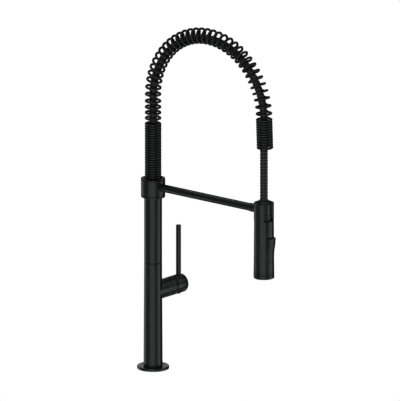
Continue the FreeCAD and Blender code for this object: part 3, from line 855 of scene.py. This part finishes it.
def floor():
    """White ground that gives its own light and takes no shadow, as in a cut-out studio picture."""
    material = bpy.data.materials.new("floor_look")
    material.use_nodes = True
    shader = material.node_tree.nodes["Principled BSDF"]
    shader.inputs["Base Color"].default_value = (0, 0, 0, 1)
    shader.inputs["Roughness"].default_value = 1.0
    shader.inputs["Specular IOR Level"].default_value = 0.0
    shader.inputs["Emission Color"].default_value = (1, 1, 1, 1)
    shader.inputs["Emission Strength"].default_value = 1.0
    maker = bmesh.new()
    half = FLOOR_HALF
    corners = [(-half, -half), (half, -half), (half, half), (-half, half)]
    maker.faces.new([maker.verts.new((x, y, CAD_BOX[0].z - FLOOR_DROP)) for x, y in corners])
    plane = made_object("floor", maker)
    plane.data.materials.append(material)
    for flag in ("visible_glossy", "visible_diffuse", "visible_shadow", "visible_transmission"):
        setattr(plane, flag, False)


def panel(name, azimuth, elevation, spans, radiance, distance=2.4, target=(REACH / 2, 0, 0.3)):
    """Softbox seen from target at an azimuth from the camera side, positive to the right."""
    turn, rise = math.radians(VIEW_AZIMUTH + azimuth), math.radians(elevation)
    level = math.cos(rise)
    facing = Vector((math.sin(turn) * level, -math.cos(turn) * level, math.sin(rise)))
    width, height = (2 * distance * math.tan(math.radians(angle) / 2) for angle in spans)
    light = bpy.data.lights.new(name, "AREA")
    light.shape = "RECTANGLE"
    light.size, light.size_y = width, height
    light.energy = math.pi * width * height * radiance
    lamp = bpy.data.objects.new(name, light)
    lamp.location = Vector(target) + facing * distance
    lamp.rotation_mode = "QUATERNION"
    lamp.rotation_quaternion = (-facing).to_track_quat("-Z", "Y")
    lamp.visible_camera = False
    bpy.context.scene.collection.objects.link(lamp)


def camera():
    a, e = math.radians(VIEW_AZIMUTH), math.radians(VIEW_ELEVATION)
    right = Vector((math.cos(a), math.sin(a), 0))
    up = Vector((-math.sin(a) * math.sin(e), math.cos(a) * math.sin(e), math.cos(e)))
    back = Vector((math.sin(a) * math.cos(e), -math.cos(a) * math.cos(e), math.sin(e)))
    data = bpy.data.cameras.new("camera")
    data.type = "ORTHO"
    data.ortho_scale = VIEW_WIDTH
    data.clip_end = 20
    made = bpy.data.objects.new("camera", data)
    made.location = right * VIEW_SHIFT[0] + up * VIEW_SHIFT[1] + back * VIEW_DISTANCE
    made.rotation_mode = "QUATERNION"
    made.rotation_quaternion = (-back).to_track_quat("-Z", "Y")
    bpy.context.scene.collection.objects.link(made)
    bpy.context.scene.camera = made


# Azimuth from the camera side, and the studio's glow there
GLOW = [(-180, 0.02), (-165, 0.06), (-145, 0.4), (-60, 0.48), (0, 0.7), (55, 0.75), (95, 0.6),
        (114, 0.02), (180, 0.02)]


def world():
    """White behind the faucet, and a soft studio glow that varies around it."""
    made = bpy.data.worlds.new("studio")
    bpy.context.scene.world = made
    made.use_nodes = True
    tree = made.node_tree
    background = tree.nodes["Background"]
    place = tree.nodes.new("ShaderNodeTexCoord")
    turned_to_view = node(tree, "ShaderNodeMapping")
    turned_to_view.inputs["Rotation"].default_value = (0, 0, math.radians(90 - VIEW_AZIMUTH))
    tree.links.new(place.outputs["Generated"], turned_to_view.inputs["Vector"])
    around = node(tree, "ShaderNodeTexGradient", gradient_type="RADIAL")
    tree.links.new(turned_to_view.outputs["Vector"], around.inputs["Vector"])
    stops = [((azimuth + 180) / 360, (glow, glow, glow * 1.02)) for azimuth, glow in GLOW]
    tree.links.new(ramp(tree, around.outputs["Fac"], stops), background.inputs["Color"])
    white = node(tree, "ShaderNodeBackground", Color=(1, 1, 1, 1), Strength=1.0)
    path = tree.nodes.new("ShaderNodeLightPath")
    mix = tree.nodes.new("ShaderNodeMixShader")
    tree.links.new(path.outputs["Is Camera Ray"], mix.inputs[0])
    tree.links.new(background.outputs[0], mix.inputs[1])
    tree.links.new(white.outputs[0], mix.inputs[2])
    tree.links.new(mix.outputs[0], tree.nodes["World Output"].inputs["Surface"])


# Name, azimuth, elevation, angular width and height, radiance, and any nearer place and target
PANELS = [
    ("front_box", -13, -12, (62, 110), 1.45),
    ("right_box", 85, -18, (46, 36), 1.65),
    ("right_upper_box", 108, 36, (40, 40), 0.95),
    ("left_box", -124, -22, (40, 46), 1.1),
    ("left_low_box", -92, -34, (24, 16), 1.9),
    ("left_upper_box", -138, 50, (30, 24), 2.6),
    ("rear_box", 180, 14, (20, 9), 0.9),
    ("rear_upper_box", 160, 38, (26, 26), 0.6),
    ("rear_low_box", 148, -38, (30, 14), 0.65),
    ("foot_box", 180, 14, (34, 16), 1.0, 0.6, (0, 0, 0.01)),
    ("under_box", -10, -82, (60, 60), 0.4),
]

floor()
camera()
world()
for row in PANELS:
    panel(*row)

bpy.context.scene.view_settings.gamma = VIEW_GAMMA
bpy.context.scene.view_settings.view_transform = "Standard"
